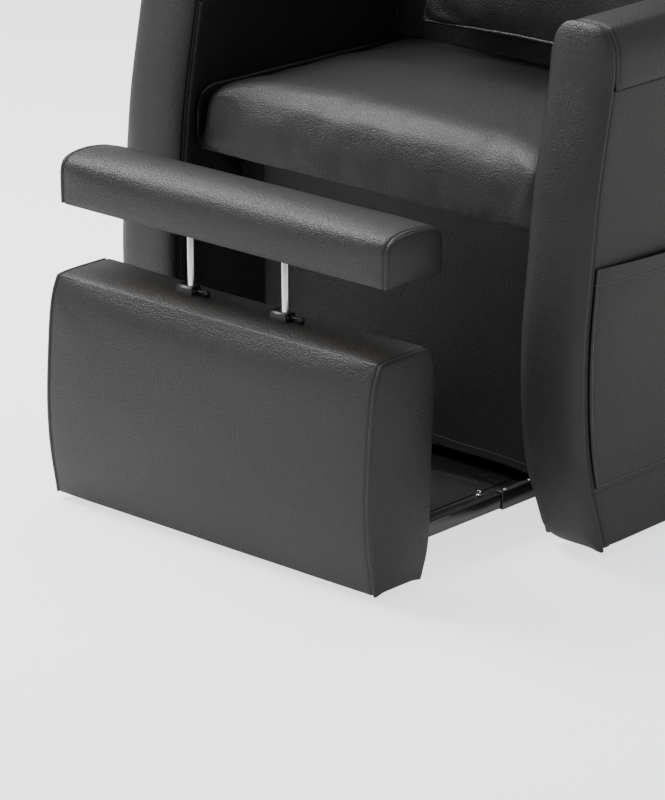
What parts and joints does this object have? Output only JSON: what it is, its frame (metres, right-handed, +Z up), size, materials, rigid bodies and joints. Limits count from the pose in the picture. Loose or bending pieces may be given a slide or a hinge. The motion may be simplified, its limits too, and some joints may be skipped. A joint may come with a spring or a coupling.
{
  "type": "pedicure spa chair",
  "caption": "Upholstered club chair with high rounded arms and a slide-out tray that carries a padded front box and a height-adjustable footrest on chrome posts.",
  "frame": {"origin": "on the floor under the middle of the overall box, tray pulled out", "axes": "+Z up, -Y the chair's front, +X to the right of someone facing the chair"},
  "size_m": [0.8326, 0.941, 1.0403],
  "materials": {
    "vinyl": "charcoal black upholstery vinyl with a fine pebbled grain",
    "wood": "plain plywood and softwood, unfinished",
    "black_steel": "black gloss powder coat on steel",
    "zinc": "bright zinc plate",
    "chrome": "polished chrome plate",
    "plastic": "satin black moulded plastic",
    "nylon": "natural nylon",
    "spring_steel": "oiled spring wire"
  },
  "bodies": {
    "chair": {"arm_front_left": "vinyl", "arm_outer_left": "vinyl", "arm_inner_left": "vinyl", "arm_top_left": "vinyl", "arm_frame_left": "wood", "arm_front_right": "vinyl", "arm_outer_right": "vinyl", "arm_inner_right": "vinyl", "arm_top_right": "vinyl", "arm_frame_right": "wood", "side_pocket_left": "vinyl", "side_pocket_right": "vinyl", "glide_front_left": "plastic", "glide_front_right": "plastic", "glide_rear_left": "plastic", "glide_rear_right": "plastic", "seat_cushion": "vinyl", "seat_frame": "wood", "seat_spring_1": "spring_steel", "seat_spring_2": "spring_steel", "seat_spring_3": "spring_steel", "front_panel": "vinyl", "base_frame": "black_steel", "fixed_rail_left": "black_steel", "fixed_rail_right": "black_steel", "inner_back": "vinyl", "outer_back": "vinyl", "back_frame": "wood", "back_pillow": "vinyl", "rear_panel": "vinyl"},
    "tray": {"tray_pan": "black_steel", "tray_runner_left": "black_steel", "tray_runner_right": "black_steel", "pan_bolt_left": "chrome", "pan_bolt_right": "chrome", "box_bracket": "black_steel", "box_cover": "vinyl", "box_frame": "wood", "box_floor": "wood", "wheel_fork_left": "zinc", "wheel_fork_right": "zinc", "post_guide_left": "plastic", "post_guide_right": "plastic", "latch_spring_left": "spring_steel", "latch_spring_right": "spring_steel"},
    "footrest": {"footrest_pad": "vinyl", "footrest_board": "wood", "post_plate": "zinc", "post_left": "chrome", "post_right": "chrome", "pad_screw_front_left": "zinc", "pad_screw_front_right": "zinc", "pad_screw_rear_left": "zinc", "pad_screw_rear_right": "zinc"},
    "release_left": {"release_button_left": "plastic"},
    "wheel_left": {"front_wheel_left": "nylon"},
    "roller_left": {"rail_roller_left": "nylon"},
    "release_right": {"release_button_right": "plastic"},
    "wheel_right": {"front_wheel_right": "nylon"},
    "roller_right": {"rail_roller_right": "nylon"}
  },
  "joints": [
    {"name": "tray_slide", "type": "slide", "parent": "chair", "child": "tray", "axis": [0, 1, 0], "range_m": [0, 0.16]},
    {"name": "footrest_lift", "type": "slide", "parent": "tray", "child": "footrest", "axis": [0, 0, 1], "range_m": [-0.076, 0]},
    {"name": "release_left_press", "type": "slide", "parent": "tray", "child": "release_left", "axis": [-1, 0, 0], "range_m": [0, 0.004], "stiffness_N_per_m": 400, "springref_m": -0.002, "deforming": ["latch_spring_left"]},
    {"name": "release_right_press", "type": "slide", "parent": "tray", "child": "release_right", "axis": [-1, 0, 0], "range_m": [0, 0.004], "stiffness_N_per_m": 400, "springref_m": -0.002, "deforming": ["latch_spring_right"]},
    {"name": "wheel_left_spin", "type": "hinge", "parent": "tray", "child": "wheel_left", "pos_m": [-0.2, -0.41248, 0.016], "axis": [1, 0, 0], "continuous": true},
    {"name": "roller_left_spin", "type": "hinge", "parent": "tray", "child": "roller_left", "pos_m": [-0.2455, 0.05852, 0.05], "axis": [1, 0, 0], "continuous": true},
    {"name": "wheel_right_spin", "type": "hinge", "parent": "tray", "child": "wheel_right", "pos_m": [0.2, -0.41248, 0.016], "axis": [1, 0, 0], "continuous": true},
    {"name": "roller_right_spin", "type": "hinge", "parent": "tray", "child": "roller_right", "pos_m": [0.2455, 0.05852, 0.05], "axis": [1, 0, 0], "continuous": true}
  ],
  "couplings": [
    {"joint": "wheel_left_spin", "follows": "tray_slide", "rad_per_m": -62.5},
    {"joint": "roller_left_spin", "follows": "tray_slide", "rad_per_m": -104.17},
    {"joint": "wheel_right_spin", "follows": "tray_slide", "rad_per_m": -62.5},
    {"joint": "roller_right_spin", "follows": "tray_slide", "rad_per_m": -104.17}
  ]
}
